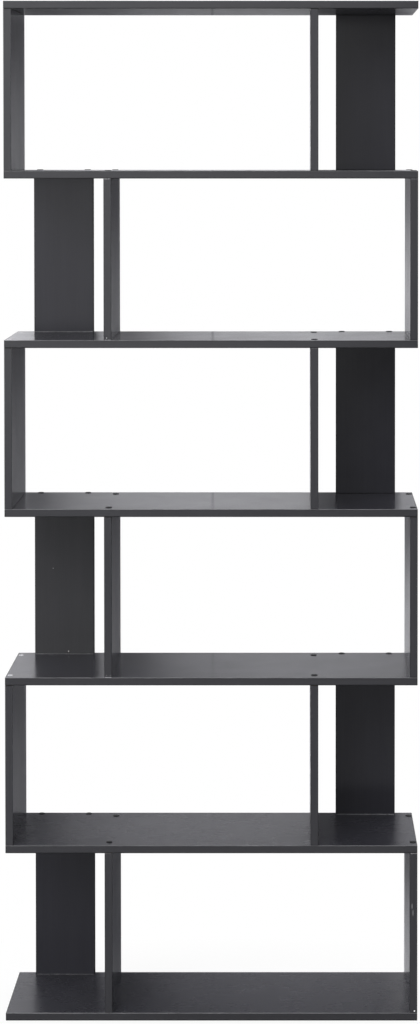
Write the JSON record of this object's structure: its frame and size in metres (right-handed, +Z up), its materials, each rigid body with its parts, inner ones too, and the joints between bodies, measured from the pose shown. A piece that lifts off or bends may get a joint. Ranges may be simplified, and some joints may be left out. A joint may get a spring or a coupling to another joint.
{
  "type": "bookcase",
  "caption": "Tall open bookcase and room divider of dark flat boards, zigzag in front view, with bays open from the front, the back and the sides.",
  "frame": {"origin": "on the floor under the middle of the base board", "axes": "+X to the right seen from the front, the front faces -Y, +Z up"},
  "size_m": [0.8, 0.24, 1.9812],
  "materials": {
    "black_melamine": "satin melamine film and edge band on chipboard",
    "zinc_plated_steel": "bright zinc plate",
    "black_cap_plastic": "satin moulded plastic"
  },
  "bodies": {
    "root": {"top_board": "black_melamine", "shelf_1": "black_melamine", "shelf_2": "black_melamine", "shelf_3": "black_melamine", "shelf_4": "black_melamine", "shelf_5": "black_melamine", "base_board": "black_melamine", "end_panel_1": "black_melamine", "divider_1": "black_melamine", "back_panel_1": "black_melamine", "end_panel_2": "black_melamine", "divider_2": "black_melamine", "back_panel_2": "black_melamine", "end_panel_3": "black_melamine", "divider_3": "black_melamine", "back_panel_3": "black_melamine", "end_panel_4": "black_melamine", "divider_4": "black_melamine", "back_panel_4": "black_melamine", "end_panel_5": "black_melamine", "divider_5": "black_melamine", "back_panel_5": "black_melamine", "end_panel_6": "black_melamine", "divider_6": "black_melamine", "back_panel_6": "black_melamine", "screws_down_1": "zinc_plated_steel", "screws_down_2": "zinc_plated_steel", "screws_down_3": "zinc_plated_steel", "screws_down_4": "zinc_plated_steel", "screws_down_5": "zinc_plated_steel", "screws_down_6": "zinc_plated_steel", "screws_up_1": "zinc_plated_steel", "screws_up_2": "zinc_plated_steel", "screws_up_3": "zinc_plated_steel", "screws_up_4": "zinc_plated_steel", "screws_up_5": "zinc_plated_steel", "screws_up_6": "zinc_plated_steel", "cover_caps_1": "black_cap_plastic", "cover_caps_2": "black_cap_plastic", "cover_caps_3": "black_cap_plastic", "cover_caps_4": "black_cap_plastic", "cover_caps_5": "black_cap_plastic", "cover_caps_6": "black_cap_plastic"}
  },
  "joints": []
}
